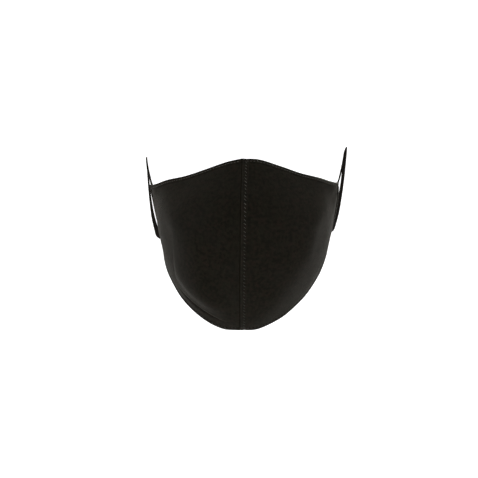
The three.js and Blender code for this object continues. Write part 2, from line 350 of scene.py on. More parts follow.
def makeSeamShadeMaterial():
    material, tree, surface = newMaterial("seamShade")
    fuzz = noise(tree, objectPlace(tree), seamFinish["fuzzScale"])
    colour = blendColours(tree, fuzz, seamFinish["shadeColour"], seamFinish["faceColour"])
    tree.links.new(colour, surface.inputs["Base Color"])
    surface.inputs["Roughness"].default_value = seamFinish["roughness"]
    surface.inputs["Specular IOR Level"].default_value = 0.0
    return material


blackJersey = makeClothMaterial()
seamShade = makeSeamShadeMaterial()
blackElastic = makeElasticMaterial()
blackThread = makeThreadMaterial()
print("cloth, elastic and thread materials made")


# Form of the cloth as it is worn

clothForm = {
    "seamDrop": 137 * mm,        # centre seam, top to foot, straight down
    "noseReach": 31 * mm,        # how far the seam stands out in front of its chord
    "chinSetback": 11 * mm,
    "upperHalfWidth": 76.3 * mm,
    "lowerHalfWidth": 68.2 * mm,
    "sideDepth": 64 * mm,
    "sideDrop": 47 * mm,
    "cornerDrop": 27.5 * mm,
    "cornerUneven": 1.1 * mm,
    "cornerSag": 4.5 * mm,       # how much lower the loop pulls one lower corner
    "edgeBow": 1.2 * mm,
    "edgeFade": 4,               # how near the side edge the sag and the bow stay
    "seamLean": 1.7 * mm,
    "chinFullness": 0.7,
}
topEdge = {
    "along": (0.00, 0.12, 0.30, 0.50, 0.70, 0.86, 1.00),
    "across": (0.000, 0.155, 0.365, 0.580, 0.780, 0.915, 1.000),
    "back": (0.00, 0.07, 0.21, 0.39, 0.60, 0.80, 1.00),
    "drop": (0.00, 0.08, 0.32, 0.57, 0.75, 0.92, 1.00),
    "lean": (0.0, 0.9, 1.2, 1.2, 1.0, 1.1, 1.0),
}
bottomEdge = {
    "along": topEdge["along"],
    "across": (0.000, 0.200, 0.470, 0.705, 0.870, 0.955, 1.000),
    "back": (0.00, 0.01, 0.10, 0.31, 0.58, 0.80, 1.00),
    "rise": (0.000, 0.018, 0.155, 0.350, 0.590, 0.805, 1.000),
}
fullness = {
    "along": topEdge["along"],
    "bow": (1.00, 0.99, 0.92, 0.72, 0.42, 0.16, 0.00),
    "peak": (0.34, 0.35, 0.37, 0.40, 0.43, 0.46, 0.40),
    "out": (0.000, 0.035, 0.085, 0.113, 0.092, 0.044, 0.000),
}
sides = {
    "right": {
        "sign": -1, "jaw": 0.95, "out": 0.8, "edge": -0.5, "sag": 1.0,
        "loopRise": 0.77, "loopStand": 0.9, "loopSplay": 1.3, "upperTwist": 0.1, "lowerTwist": 0.95,
    },
    "left": {
        "sign": 1, "jaw": 1.01, "out": 0.96, "edge": 2.2, "sag": 0.0,
        "loopRise": 1.01, "loopStand": 0.92, "loopSplay": 0.85, "upperTwist": 0.85, "lowerTwist": 0.85,
    },
}


def through(knots, values, place):
    knots = np.asarray(knots, dtype=float)
    values = np.asarray(values, dtype=float)
    slopes = np.empty_like(values)
    slopes[1:-1] = (values[2:] - values[:-2]) / (knots[2:] - knots[:-2])
    slopes[0] = (values[1] - values[0]) / (knots[1] - knots[0])
    slopes[-1] = (values[-1] - values[-2]) / (knots[-1] - knots[-2])
    i = np.searchsorted(knots[1:-1], place)
    span = knots[i + 1] - knots[i]
    t = (place - knots[i]) / span
    keep = 2 * t ** 3 - 3 * t ** 2 + 1
    leave = t ** 3 - 2 * t ** 2 + t
    meet = t ** 3 - t ** 2
    return values[i] * keep + values[i + 1] * (1 - keep) + span * (slopes[i] * leave + slopes[i + 1] * meet)


def formPoint(side, along, down):
    form = clothForm
    along, down = np.broadcast_arrays(np.asarray(along, dtype=float), np.asarray(down, dtype=float))

    def top(column):
        return through(topEdge["along"], topEdge[column], along)

    def bottom(column):
        return through(bottomEdge["along"], bottomEdge[column], along)

    def full(column):
        return through(fullness["along"], fullness[column], along)

    uneven = side["sign"] * form["cornerUneven"]
    lowerDrop = form["cornerDrop"] - uneven + form["sideDrop"]
    topX = form["upperHalfWidth"] * top("across")
    topY = form["sideDepth"] * top("back")
    topZ = uneven * top("lean") - form["cornerDrop"] * top("drop")
    footX = form["lowerHalfWidth"] * side["jaw"] * bottom("across")
    footY = form["chinSetback"] + (form["sideDepth"] - form["chinSetback"]) * bottom("back")
    footZ = -(form["seamDrop"] + (lowerDrop - form["seamDrop"]) * bottom("rise"))
    footZ = footZ - form["cornerSag"] * side["sag"] * along ** form["edgeFade"]
    peak = full("peak")
    rising = np.sin(math.pi / 2 * np.minimum(down / peak, 1))
    falling = np.maximum(np.cos(math.pi / 2 * np.clip((down - peak) / (1 - peak), 0, 1)), 0)
    stand = np.where(down < peak, rising, falling ** form["chinFullness"])
    x = topX + (footX - topX) * down + stand * form["upperHalfWidth"] * side["out"] * full("out")
    x = x + stand * form["edgeBow"] * side["edge"] * along ** form["edgeFade"]
    y = topY + (footY - topY) * down - stand * form["noseReach"] * full("bow")
    z = topZ + (footZ - topZ) * down
    x = side["sign"] * x + form["seamLean"] * (z / form["seamDrop"])
    return np.stack([x, y, z], axis=-1)


def runLength(points, axis):
    steps = np.linalg.norm(np.diff(points, axis=axis), axis=-1)
    start = np.zeros_like(np.take(steps, [0], axis=axis))
    return np.concatenate([start, np.cumsum(steps, axis=axis)], axis=axis)


def smoothStep(value, low, high):
    t = np.clip((value - low) / (high - low), 0, 1)
    return t * t * (3 - 2 * t)


def bell(value, middle, width):
    return np.exp(-((value - middle) / width) ** 2)


def unit(vectors):
    return vectors / np.maximum(np.linalg.norm(vectors, axis=-1, keepdims=True), 1e-12)


clothDetail = {
    "ply": 1.5 * mm,          # both plies together
    "hem": 2.2 * mm,          # thickness at the turned edge
    "hemRoll": 3.2 * mm,      # how far in the turned edge shows as a roll
    "hemStep": 1 * mm,        # slope from it to the open cloth
    "seamBand": 2.2 * mm,     # thickness over the pressed seam allowance
    "seamBandWidth": 4.6 * mm,
    "bandStep": 0.8 * mm,
    "seamStitch": 3.1 * mm,   # topstitch from the seam
    "topStitch": 2.6 * mm,    # hem stitches from the top edge
    "bottomStitch": 3.6 * mm,
    "sideStitch": 2.4 * mm,
    "stitchSink": 0.30 * mm,  # how far a row of stitches pulls the cloth in
    "sinkWidth": 0.7 * mm,
    "seamMitre": 5 * mm,      # how far from the seam the plies start to lean to it
    "roll": 0.55 * mm,        # rounding of the folded edges
    "rollSteps": 6,
    "edgeRow": 0.4 * mm,      # mesh spacing close to the edges
    "nearTop": 7 * mm,        # how wide that close mesh is at each edge
    "nearBottom": 17 * mm,
    "nearSide": 7 * mm,
    "openRows": 84,
    "openColumns": 84,
    "midDown": 0.45,          # where the columns are spaced evenly, from top to bottom
    "fineSteps": 600,         # to measure the form's lengths with
}

# start and end are distances from the seam, and up is how high the fold's line lies over the bottom edge
foldsOf = {
    "right": {
        "start": 8 * mm, "end": 62 * mm, "upAtStart": 10 * mm, "upAtEnd": 14 * mm,
        "width": 1.5 * mm, "sink": 0.9 * mm, "ridge": 3.0 * mm, "ridgeOff": 17 * mm,
        "ridgeWidth": 9 * mm, "ridgeRun": 14 * mm, "flare": 1.2 * mm,
    },
    "left": {
        "start": 74 * mm, "end": 112 * mm, "upAtStart": 11 * mm, "upAtEnd": 11 * mm,
        "width": 2.6 * mm, "sink": 0.8 * mm, "ridge": 0.3 * mm, "ridgeOff": 6 * mm,
        "ridgeWidth": 4 * mm, "ridgeRun": 6 * mm, "flare": 0.1 * mm,
    },
}
foldLine = {
    "bluntness": 0.6,        # the smaller, the more suddenly a fold ends
    "stray": 0.5 * mm,       # how far its line strays
    "strayTurn": 7.0,        # radians of that from end to end
    "flareTop": 0.9,         # share of the way up to the line where the flare of the edge ends
}

# a soft ridge where the cloth turns from its front to its side and under
jawLine = {
    "lift": 1.9 * mm,
    "tilt": 0.5,                                # how much facing up counts beside facing forward
    "facing": {"right": 0.67, "left": 0.62},    # where the ridge runs
    "spread": 0.16,
    "fromTop": (12 * mm, 44 * mm),              # it fades in over these distances
    "fromSide": (0, 24 * mm),
    "fromSeam": (6 * mm, 32 * mm),
}

wrinkle = {
    "seeds": {"right": 3, "left": 8},
    "waves": 5,              # added up in each ripple
    "waveSizes": (0.7, 1.5),
    "pull": 0.40 * mm,       # at the corners, where the loops pull
    "pullInset": 6 * mm,
    "pullReach": 26 * mm,
    "pullFrom": (2 * mm, 14 * mm),
    "creases": 7,
    "creaseTurn": 0.6,       # radians
    "pucker": 0.14 * mm,     # along the centre seam
    "puckerLength": 9 * mm,
    "puckerReach": 5 * mm,
    "puckerSeed": 21,
    "hemWave": 0.30 * mm,
    "hemLength": 26 * mm,
    "bottomReach": 6 * mm,
    "topReach": 5 * mm,
    "topShare": 0.6,         # of the bottom edge's waves
    "drape": 0.55 * mm,      # slow unevenness of the open cloth
    "drapeLength": 75 * mm,
    "drapeFrom": 25 * mm,    # from the seam
    "wavesFrom": 8 * mm,
}


def stopsAcross(length, near, far, openCount):
    edgeRow = clothDetail["edgeRow"]
    roll = clothDetail["roll"]
    first = np.arange(roll, near, edgeRow)
    last = length - np.arange(roll, far, edgeRow)[::-1]
    between = np.linspace(near, last[0], openCount, endpoint=False)
    return np.concatenate([first, between, last])


def clothGrid(side):
    detail = clothDetail
    fine = np.linspace(0, 1, detail["fineSteps"])
    midRun = runLength(formPoint(side, fine, detail["midDown"]), 0)
    acrossStops = stopsAcross(midRun[-1], detail["nearSide"], detail["nearSide"], detail["openColumns"])
    alongs = np.interp(acrossStops, midRun, fine)
    columns = []
    fromTop = []
    fromBottom = []
    for along in alongs:
        run = runLength(formPoint(side, along, fine), 0)
        stops = stopsAcross(run[-1], detail["nearTop"], detail["nearBottom"], detail["openRows"])
        columns.append(formPoint(side, along, np.interp(stops, run, fine)))
        fromTop.append(stops)
        fromBottom.append(run[-1] - stops)
    base = np.array(columns)
    fromSeam = runLength(base, 0) + detail["roll"]
    edges = {
        "fromTop": np.array(fromTop),
        "fromBottom": np.array(fromBottom),
        "fromSeam": fromSeam,
        "fromSide": fromSeam[-1:] - fromSeam + detail["roll"],
    }
    return base, edges


hollowMiddle = np.array([0, 60 * mm, -70 * mm])


def outwardOf(surface):
    across = np.gradient(surface, axis=0)
    down = np.gradient(surface, axis=1)
    outward = unit(np.cross(across, down))
    return outward if (outward * (surface - hollowMiddle)).sum() > 0 else -outward


def ripple(first, second, seed, wave):
    rng = np.random.default_rng(seed)
    total = 0
    for _ in range(wrinkle["waves"]):
        turn = rng.uniform(0, math.pi)
        size = wave * rng.uniform(*wrinkle["waveSizes"])
        phase = rng.uniform(0, 2 * math.pi)
        along = first * math.cos(turn) + second * math.sin(turn)
        total = total + np.sin(2 * math.pi * along / size + phase)
    return total / wrinkle["waves"]


def foldShift(name, edges):
    fold = foldsOf[name]
    fromBottom = edges["fromBottom"]
    share = np.clip((edges["fromSeam"] - fold["start"]) / (fold["end"] - fold["start"]), 0, 1)
    fade = np.sin(math.pi * share) ** foldLine["bluntness"]
    up = fold["upAtStart"] + (fold["upAtEnd"] - fold["upAtStart"]) * share
    up = up + foldLine["stray"] * np.sin(share * foldLine["strayTurn"])
    groove = -fold["sink"] * bell(fromBottom, up, fold["width"])
    flare = fold["flare"] * (1 - share) * (1 - smoothStep(fromBottom, 0, foldLine["flareTop"] * up))
    # the ridge over the groove falls steeply to it and runs out gently above
    crest = up + fold["ridgeOff"]
    ridgeReach = np.where(fromBottom < crest, fold["ridgeWidth"], fold["ridgeRun"])
    return fade * fold["ridge"] * bell(fromBottom, crest, ridgeReach) + fade ** 2 * (groove + flare)


def cornerPull(fromSide, fromEdge):
    # creases that fan out from where a loop is sewn on
    across = fromEdge - wrinkle["pullInset"]
    reach = np.hypot(fromSide, across)
    fan = np.cos(np.arctan2(across, fromSide) * wrinkle["creases"] + wrinkle["creaseTurn"])
    fan = fan * bell(reach, 0, wrinkle["pullReach"]) * smoothStep(reach, *wrinkle["pullFrom"])
    return wrinkle["pull"] * fan


def wrinkleShift(name, edges):
    fromTop, fromBottom, fromSeam, fromSide = edges.values()
    seed = wrinkle["seeds"][name]
    drape = wrinkle["drape"] * ripple(fromSeam, fromTop, seed, wrinkle["drapeLength"])
    total = drape * smoothStep(fromSeam, 0, wrinkle["drapeFrom"])
    total = total + cornerPull(fromSide, fromTop) + cornerPull(fromSide, fromBottom)
    hem = np.exp(-fromBottom / wrinkle["bottomReach"])
    hem = hem + wrinkle["topShare"] * np.exp(-fromTop / wrinkle["topReach"])
    wave = ripple(fromSeam, fromTop * 0.05, seed + 2, wrinkle["hemLength"])
    total = total + wrinkle["hemWave"] * hem * wave
    # the two halves pucker alike along the seam, so that their lips still meet
    pucker = ripple(fromTop, fromSeam * 0.2, wrinkle["puckerSeed"], wrinkle["puckerLength"])
    pucker = wrinkle["pucker"] * pucker * np.exp(-fromSeam / wrinkle["puckerReach"])
    return total * smoothStep(fromSeam, 0, wrinkle["wavesFrom"]) + pucker


def jawShift(name, outward, edges):
    facing = -outward[..., 1] + jawLine["tilt"] * outward[..., 2]
    shift = jawLine["lift"] * bell(facing, jawLine["facing"][name], jawLine["spread"])
    for edge in ("fromTop", "fromSide", "fromSeam"):
        shift = shift * smoothStep(edges[edge], *jawLine[edge])
    return shift


def thicknessOf(name, edges, fromEdge):
    detail = clothDetail
    inHem = 1 - smoothStep(fromEdge, detail["hemRoll"], detail["hemRoll"] + detail["hemStep"])
    thick = detail["ply"] + (detail["hem"] - detail["ply"]) * inHem
    rows = [("fromTop", "topStitch"), ("fromBottom", "bottomStitch"), ("fromSide", "sideStitch")]
    if name == "left":
        bandEnd = detail["seamBandWidth"] + detail["bandStep"]
        inBand = 1 - smoothStep(edges["fromSeam"], detail["seamBandWidth"], bandEnd)
        thick = np.maximum(thick, detail["seamBand"] * inBand)
        rows.append(("fromSeam", "seamStitch"))
    for edge, row in rows:
        thick = thick - detail["stitchSink"] * bell(edges[edge], detail[row], detail["sinkWidth"])
    return thick


def rolledEdge(base, outer, inner, rim, atSeam):
    # rings that round the folded edges, and fill the lips of the seam out to the plane where they meet
    detail = clothDetail
    lead = np.zeros_like(base)
    lead[:, 0] += unit(base[:, 0] - base[:, 1])
    lead[:, -1] += unit(base[:, -1] - base[:, -2])
    lead[0] += unit(base[0] - base[1])
    lead[-1] += unit(base[-1] - base[-2])
    lead = unit(lead.reshape(-1, 3)[rim]) * detail["roll"]
    outRim = outer.reshape(-1, 3)[rim]
    inRim = inner.reshape(-1, 3)[rim]
    middle = (outRim + inRim) / 2
    half = (outRim - inRim) / 2
    toSeam = clothForm["seamLean"] * middle[:, 2] / clothForm["seamDrop"] - middle[:, 0]
    lead[atSeam, 0] = toSeam[atSeam]
    roundness = np.where(atSeam, 0.5, 1.0)
    rings = []
    for step in range(1, detail["rollSteps"]):
        angle = math.pi * step / detail["rollSteps"]
        rings.append(middle + half * math.cos(angle) + lead * (math.sin(angle) ** roundness)[:, None])
    return rings


def shellFaces(number, rim, ringCount):
    total = number.size
    corners = (number[:-1, :-1], number[1:, :-1], number[1:, 1:], number[:-1, 1:])
    quads = np.stack(corners, axis=-1).reshape(-1, 4)
    faces = [quads, quads[:, ::-1] + total]
    loops = [rim]
    loops += [2 * total + k * len(rim) + np.arange(len(rim)) for k in range(ringCount)]
    loops.append(rim + total)
    for upper, lower in zip(loops[:-1], loops[1:]):
        faces.append(np.stack([upper, lower, np.roll(lower, -1), np.roll(upper, -1)], axis=-1))
    return np.concatenate(faces)


# Painted highlight along the edges, as shares of the cloth's light colour of lint and highlight. The right
# half has it brightest along its lower edge, the left half at its upper corner and beside the seam, where
# its band stands proud.
edgeHighlightShares = {
    "edge": 0.11,
    "edgeExtra": 0.15,                 # more where the painted highlight is brightest
    "edgeReach": 0.7 * mm,
    "rim": 0.15,
    "rimExtra": 0.22,
    "inside": 0.3,                     # how much of it shows on the inner face
    "depth": 4 * mm,                   # how far in from the edge the brightest of it reaches
    "lowerFrom": (20 * mm, 40 * mm),   # from the seam, where the painted highlight of the lower edge begins
    "cornerEnd": (26 * mm, 44 * mm),   # from the side edge, where the painted highlight of the corner ends
    "corner": 13,
    "band": 0.05,
    "bandReach": 1.2 * mm,
}


# painted highlight along the edges and on the rolled rims, as shares of the light colour
def edgeHighlightOf(name, edges, fromEdge, rim, ringCount):
    fromSeam = edges["fromSeam"]
    if name == "right":
        lightening = 1 - smoothStep(edges["fromBottom"], 0, edgeHighlightShares["depth"])
        lightening = lightening * smoothStep(fromSeam, *edgeHighlightShares["lowerFrom"])
    else:
        lightening = edgeHighlightShares["corner"] * (1 - smoothStep(edges["fromTop"], 0, edgeHighlightShares["depth"]))
        lightening = lightening * (1 - smoothStep(edges["fromSide"], *edgeHighlightShares["cornerEnd"]))
    highlight = (edgeHighlightShares["edge"] + edgeHighlightShares["edgeExtra"] * lightening) * np.exp(-fromEdge / edgeHighlightShares["edgeReach"])
    if name == "left":
        highlight = highlight + edgeHighlightShares["band"] * np.exp(-fromSeam / edgeHighlightShares["bandReach"])
    highlight = highlight.ravel()
    rimHighlight = edgeHighlightShares["rim"] + edgeHighlightShares["rimExtra"] * lightening.ravel()[rim]
    rimHighlight = np.where(fromSeam.ravel()[rim] < 1 * mm, 0.0, rimHighlight)
    return np.concatenate([highlight, edgeHighlightShares["inside"] * highlight] + [rimHighlight] * ringCount)


def shadeLips(piece, name, number, atSeam, ringCount):
    # the rolled lips of the seam lie in its shade, on the right half with the row beside them
    piece.data.materials.append(seamShade)
    isLip = np.zeros(len(piece.data.vertices), dtype=bool)
    isLip[number[0]] = name == "right"
    isLip[2 * number.size:] = np.tile(atSeam, ringCount)
    for face in piece.data.polygons:
        if all(isLip[v] for v in face.vertices):
            face.material_index = 1


def clothSkins(name, base, edges, fromEdge):
    # the inner and outer face of the cloth, with its folds, and which way it faces
    outward = outwardOf(base)
    shift = foldShift(name, edges) + jawShift(name, outward, edges) + wrinkleShift(name, edges)
    inner = base + outward * shift[..., None]
    outward = outwardOf(inner)
    thick = thicknessOf(name, edges, fromEdge)
    toPlane = (1 - smoothStep(edges["fromSeam"], 0, clothDetail["seamMitre"]))[..., None]
    mitred = unit(outward - toPlane * np.array([1.0, 0, 0]) * outward[..., :1])
    outer = inner + mitred * (thick / (mitred * outward).sum(-1))[..., None]
    return inner, outer, outward


def makeClothHalf(name):
    base, edges = clothGrid(sides[name])
    fromEdge = np.minimum(np.minimum(edges["fromTop"], edges["fromBottom"]), edges["fromSide"])
    inner, outer, outward = clothSkins(name, base, edges, fromEdge)

    number = np.arange(base.shape[0] * base.shape[1]).reshape(base.shape[:2])
    rim = np.concatenate([number[:, 0], number[-1, 1:], number[-2::-1, -1], number[0, -2:0:-1]])
    atSeam = np.isin(rim, number[0])
    rings = rolledEdge(base, outer, inner, rim, atSeam)
    verts = np.concatenate([outer.reshape(-1, 3), inner.reshape(-1, 3)] + rings)
    faces = shellFaces(number, rim, len(rings))
    uvs = np.stack([edges["fromSeam"], edges["fromTop"]], axis=-1).reshape(-1, 2) / clothFinish["uvSpan"]
    uvs = np.concatenate([uvs, uvs] + [uvs[rim]] * len(rings))
    # the painted edge highlight goes on the mesh as a point attribute
    highlight = edgeHighlightOf(name, edges, fromEdge, rim, len(rings))
    piece = addMesh(f"{name}ClothHalf", verts, faces, blackJersey, uvs, {"edgeHighlight": highlight})
    shadeLips(piece, name, number, atSeam, len(rings))

    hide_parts(f"{name}_cloth_half")
    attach(piece, "root")
    return {"outer": outer, "inner": inner, "outward": outward, **edges}


surfaces = {}
for name in sides:
    surfaces[name] = makeClothHalf(name)
print("cloth halves made")


# Stitching

stitching = {
    "seamPitch": 3.1 * mm,
    "hemPitch": 2.8 * mm,
    "fromEnds": 1.2 * mm,    # how far a row keeps from the other edges
    "radius": 0.23 * mm,
    "around": 6,             # mesh points round a thread
    "endTaper": 0.6,
    "seamSlant": 1.05 * mm,  # how far each end of a topstitch leans off its row
    "lengthShare": 0.60,     # of the pitch, the rest is the needle hole
    "proud": 0.10 * mm,      # middle of a stitch over the cloth
    "sunk": 0.16 * mm,       # ends of a stitch under it
    "shape": (-1.0, 0.25, 0.85, 1.0, 0.85, 0.25, -1.0),
    "seed": 55,
    "unevenPlace": 0.07,     # of the pitch
    "unevenLength": (0.94, 1.04),
    "unevenSlant": 0.05 * mm,
    "unevenDepth": 0.12 * mm,
    "unevenRadius": (0.93, 1.05),
}


def lineOn(surface, field, distance, face="outer", inset=0.0):
    # the line on the cloth at one distance from an edge, cut off near the other edges
    values = surface[field]
    points = surface[face]
    outward = surface["outward"] * (1 if face == "outer" else -1)
    if field in ("fromSeam", "fromSide"):
        values = values.T
        points = points.transpose(1, 0, 2)
        outward = outward.transpose(1, 0, 2)
    if field in ("fromBottom", "fromSide"):
        values = values[:, ::-1]
        points = points[:, ::-1]
        outward = outward[:, ::-1]
    line = []
    normal = []
    for row, place, out in zip(values, points, outward):
        line.append([np.interp(distance, row, place[:, k]) for k in range(3)])
        normal.append([np.interp(distance, row, out[:, k]) for k in range(3)])
    line = np.array(line)
    normal = unit(np.array(normal))
    run = runLength(line, 0)
    keep = (run >= inset) & (run <= run[-1] - inset)
    return line[keep], normal[keep]


def alongLine(places, run, values):
    return np.stack([np.interp(places, run, values[:, a]) for a in range(3)], axis=-1)


def threadTube(centres, outward, radius):
    around = stitching["around"]
    ahead = unit(np.gradient(centres, axis=0))
    across = unit(np.cross(ahead, outward))
    up = np.cross(across, ahead)
    angles = 2 * math.pi * np.arange(around) / around
    taper = np.ones(len(centres))
    taper[0] = taper[-1] = stitching["endTaper"]
    ring = np.cos(angles)[None, :, None] * across[:, None] + np.sin(angles)[None, :, None] * up[:, None]
    verts = (centres[:, None] + ring * (radius * taper)[:, None, None]).reshape(-1, 3)
    faces = []
    for r in range(len(centres) - 1):
        for k in range(around):
            m = (k + 1) % around
            faces.append((r * around + k, r * around + m, (r + 1) * around + m, (r + 1) * around + k))
    lastRing = (len(centres) - 1) * around
    faces.append(tuple(range(around))[::-1])
    faces.append(tuple(lastRing + k for k in range(around)))
    run = runLength(centres, 0) / threadFinish["uvSpan"]
    uvs = np.stack([np.tile(np.arange(around) / around, len(centres)), np.repeat(run, around)], axis=-1)
    return verts, faces, uvs


def joinTubes(name, tubes):
    verts = []
    faces = []
    uvs = []
    start = 0
    for tubeVerts, tubeFaces, tubeUvs in tubes:
        verts.append(tubeVerts)
        uvs.append(tubeUvs)
        faces.extend([tuple(v + start for v in face) for face in tubeFaces])
        start += len(tubeVerts)
    piece = addMesh(name, np.concatenate(verts), faces, blackThread, np.concatenate(uvs))
    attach(piece, "root")


def stitchesAlong(line, normal, pitch, slant, seed):
    rng = np.random.default_rng(seed)
    run = runLength(line, 0)
    count = int(run[-1] // pitch)
    spare = (run[-1] - count * pitch) / 2
    shape = np.array(stitching["shape"])
    lift = np.where(shape < 0, shape * stitching["sunk"], shape * stitching["proud"])
    sway = np.linspace(-1, 1, len(shape))[:, None]
    tubes = []
    for k in range(count):
        stray = rng.uniform(-stitching["unevenPlace"], stitching["unevenPlace"])
        middle = spare + (k + 0.5 + stray) * pitch
        length = pitch * stitching["lengthShare"] * rng.uniform(*stitching["unevenLength"])
        places = middle + length * np.linspace(-0.5, 0.5, len(shape))
        centres = alongLine(places, run, line)
        outward = unit(alongLine(places, run, normal))
        lean = slant + rng.uniform(-1, 1) * stitching["unevenSlant"]
        offRow = unit(np.cross(outward, np.gradient(centres, axis=0))) * lean
        depth = rng.uniform(-1, 1) * stitching["unevenDepth"]
        centres = centres + outward * (lift + depth)[:, None] + offRow * sway
        radius = stitching["radius"] * rng.uniform(*stitching["unevenRadius"])
        tubes.append(threadTube(centres, outward, radius))
    return tubes


def makeStitching():
    rows = (
        ("topHemStitches", "fromTop", "topStitch", "hemPitch", 0, ("right", "left")),
        ("bottomHemStitches", "fromBottom", "bottomStitch", "hemPitch", 0, ("right", "left")),
        ("sideHemStitches", "fromSide", "sideStitch", "hemPitch", 0, ("right", "left")),
        ("centreTopstitch", "fromSeam", "seamStitch", "seamPitch", stitching["seamSlant"], ("left",)),
    )
    inset = stitching["fromEnds"]
    for pieceName, field, distance, pitch, slant, names in rows:
        tubes = []
        for k, name in enumerate(names):
            for face in ("outer", "inner"):
                line, normal = lineOn(surfaces[name], field, clothDetail[distance], face, inset)
                tubes += stitchesAlong(line, normal, stitching[pitch], slant, stitching["seed"] + k)
        joinTubes(pieceName, tubes)


makeStitching()
print("stitching made")


# Ear loops

earLoop = {
    "width": 5 * mm,
    "thickness": 1.3 * mm,
    "tab": 9 * mm,            # sewn end inside the side hem
    "inset": 5.5 * mm,        # sewn end from the corner, along the side edge
    "reach": 50 * mm,
    "rise": 28 * mm,
    "stand": 9.5 * mm,
    "off": 0.4 * mm,          # sewn end off the inside of the cloth
    "steps": 260,
    "widthSteps": 25,         # to measure the cloth's width with
    "ribs": 8,
    "rowsInRib": 6,
    "ribDepth": 0.09 * mm,
    "squareness": 6,          # of the band's rounded edges
}
loopRoute = {
    "down": (0.00, 0.00, 0.00, 0.00, 0.14, 0.42, 0.70, 0.90, 0.99, 1.00),
    "back": (0.07, 0.20, 0.48, 0.76, 0.96, 1.00, 0.90, 0.66, 0.36, 0.10),
    "rise": (0.04, 0.22, 0.66, 1.00, 0.80, 0.42, 0.10, 0.00, 0.00, 0.00),
    "out": (0.05, 0.36, 0.80, 1.10, 1.20, 1.22, 1.10, 0.86, 0.62, 0.10),
    "twist": (2, 10, 18, 26, 32, 36, 36, 34, 26, 4),
}


def sewnEnd(side, down):
    width = runLength(formPoint(side, np.linspace(0, 1, earLoop["widthSteps"]), down), 0)[-1]
    lift = -(earLoop["off"] + earLoop["thickness"] / 2)
    stations = []
    for fromEdge in (earLoop["tab"], earLoop["tab"] / 2, 0):
        along = 1 - fromEdge / width
        step = 0.01
        across = formPoint(side, min(1, along + step), down) - formPoint(side, along - step, down)
        fall = formPoint(side, along, down + step) - formPoint(side, along, down - step)
        outward = unit(np.cross(across, fall) * -side["sign"])
        stations.append((formPoint(side, along, down) + outward * lift, outward))
    return stations


def loopStations(side):
    # the points that a loop runs through, which way its flat face looks there, and its twist in degrees
    inset = earLoop["inset"] / clothForm["sideDrop"]
    upper = sewnEnd(side, inset)
    lower = sewnEnd(side, 1 - inset)
    points = [p for p, _ in upper]
    flats = [n for _, n in upper]
    twists = [0, 0, 0]
    for down, back, rise, out, twist in zip(*loopRoute.values()):
        point = upper[2][0] * (1 - down) + lower[2][0] * down
        splay = 1 + (side["loopSplay"] - 1) * down
        point = point + np.array([
            side["sign"] * earLoop["stand"] * side["loopStand"] * splay * out,
            earLoop["reach"] * back,
            earLoop["rise"] * side["loopRise"] * rise,
        ])
        points.append(point)
        flats.append(np.array([side["sign"], 0, 0]))
        twists.append(twist * (side["upperTwist"] * (1 - down) + side["lowerTwist"] * down))
    points += [p for p, _ in lower[::-1]]
    flats += [n for _, n in lower[::-1]]
    twists += [0, 0, 0]
    return np.array(points), np.array(flats), np.array(twists)


def bandOutline():
    # a cut across the elastic, whose knitted ribs stand up a little
    half = earLoop["width"] / 2
    across = np.linspace(-1, 1, earLoop["ribs"] * earLoop["rowsInRib"] + 1)
    crown = np.sqrt(np.clip(1 - np.abs(across) ** earLoop["squareness"], 0, 1))
    ribs = np.abs(np.sin(math.pi * (across + 1) / 2 * earLoop["ribs"]))
    height = (earLoop["thickness"] / 2 - earLoop["ribDepth"] * (1 - ribs)) * crown
    outline = [(a * half, h) for a, h in zip(across, height)]
    outline += [(a * half, -h) for a, h in zip(across[-2:0:-1], height[-2:0:-1])]
    return np.array(outline)


def makeEarLoop(name):
    side = sides[name]
    points, flats, twists = loopStations(side)
    knots = np.arange(len(points))
    places = np.linspace(0, len(points) - 1, earLoop["steps"] + 1)
    centres = np.stack([through(knots, points[:, a], places) for a in range(3)], axis=-1)
    flat = np.stack([through(knots, flats[:, a], places) for a in range(3)], axis=-1)
    turn = np.radians(through(knots, twists, places))[:, None] * side["sign"]
    ahead = unit(np.gradient(centres, axis=0))
    flat = unit(flat - ahead * (flat * ahead).sum(-1, keepdims=True))
    wide = np.cross(ahead, flat)
    flat, wide = flat * np.cos(turn) + wide * np.sin(turn), wide * np.cos(turn) - flat * np.sin(turn)

    outline = bandOutline()
    verts = centres[:, None] + wide[:, None] * outline[None, :, :1] + flat[:, None] * outline[None, :, 1:]
    around = len(outline)
    rings = len(centres)
    r, k = np.indices((rings - 1, around))
    m = (k + 1) % around
    corners = (r * around + k, r * around + m, (r + 1) * around + m, (r + 1) * around + k)
    faces = [tuple(f) for f in np.stack(corners, axis=-1).reshape(-1, 4)]
    faces.append(tuple(range(around))[::-1])
    faces.append(tuple((rings - 1) * around + n for n in range(around)))
    run = runLength(centres, 0) / elasticFinish["uvSpan"]
    across = outline[:, 0] / earLoop["width"] + 0.5
    uvs = np.stack([np.tile(across, rings), np.repeat(run, around)], axis=-1)
    piece = addMesh(f"{name}EarLoop", verts.reshape(-1, 3), faces, blackElastic, uvs)
    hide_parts(f"{name}_ear_loop")
    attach(piece, "root")


for name in sides:
    makeEarLoop(name)
print("ear loops made")


# Bar tacks that hold the loops, worked through the side hem

barTack = {
    "fromEdge": 5.5 * mm,   # middle of the tack from the side edge
    "fromCorner": 5.5 * mm,
    "length": 5.2 * mm,     # across the elastic
    "width": 2.0 * mm,
    "threads": 13,
    "radius": 0.2 * mm,
    "slip": 0.2 * mm,       # how far a thread's outer end lies along from its inner end
    "over": {"outer": 0.0, "inner": 1.73 * mm},    # on the inner face they go over the loop's end
    "bulge": (-0.25 * mm, 0.10 * mm, 0.16 * mm, 0.10 * mm, -0.25 * mm),
}


